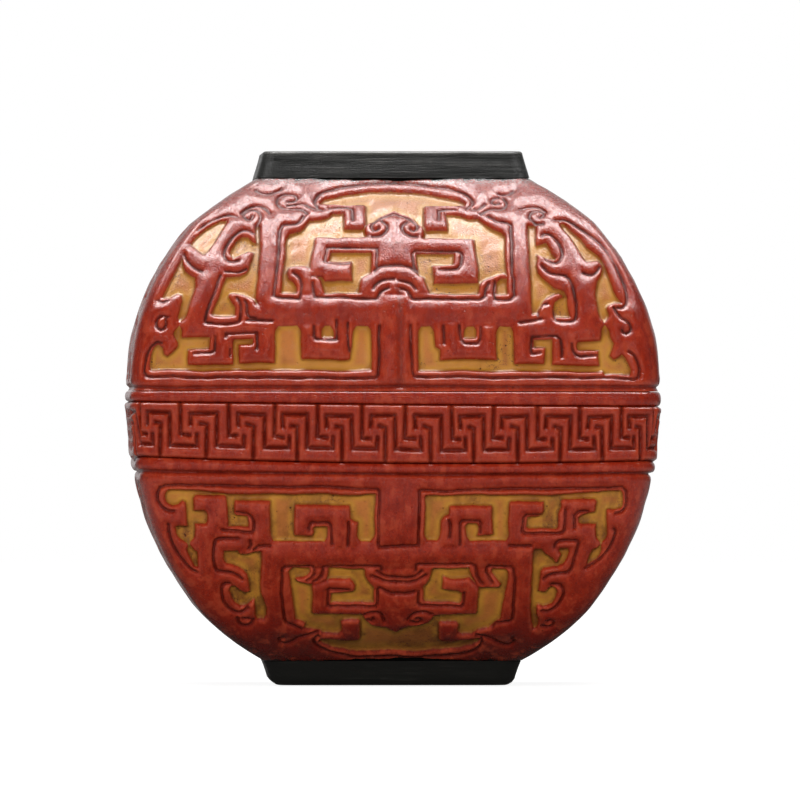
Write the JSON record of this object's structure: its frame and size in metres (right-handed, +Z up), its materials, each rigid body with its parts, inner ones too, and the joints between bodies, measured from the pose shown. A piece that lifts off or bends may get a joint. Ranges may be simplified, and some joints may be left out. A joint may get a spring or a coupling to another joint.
{
  "type": "scholar water pot",
  "caption": "Squared cushion-shaped ceramic water pot for a scholar's desk, with red fret relief on an ochre ground and a black neck and foot.",
  "frame": {"origin": "middle of the foot's underside", "axes": "+Z up through the mouth, -Y towards the front panel, +X to the right of it"},
  "size_m": [0.0992, 0.0992, 0.099],
  "materials": {
    "red_glaze": "semi-gloss red enamel glaze with brush marks",
    "ochre_glaze": "satin ochre enamel ground with fine pits",
    "black_glaze": "satin brushed black"
  },
  "bodies": {
    "root": {"wall_front": "ochre_glaze", "wall_right": "ochre_glaze", "wall_back": "ochre_glaze", "wall_left": "ochre_glaze", "relief_upper_front": "red_glaze", "relief_upper_right": "red_glaze", "relief_upper_back": "red_glaze", "relief_upper_left": "red_glaze", "relief_lower_front": "red_glaze", "relief_lower_right": "red_glaze", "relief_lower_back": "red_glaze", "relief_lower_left": "red_glaze", "fret_band_front": "red_glaze", "fret_band_right": "red_glaze", "fret_band_back": "red_glaze", "fret_band_left": "red_glaze", "upper_rib": "red_glaze", "lower_rib": "red_glaze", "neck_collar": "black_glaze", "foot_ring": "black_glaze", "floor_plate": "black_glaze"}
  },
  "joints": []
}
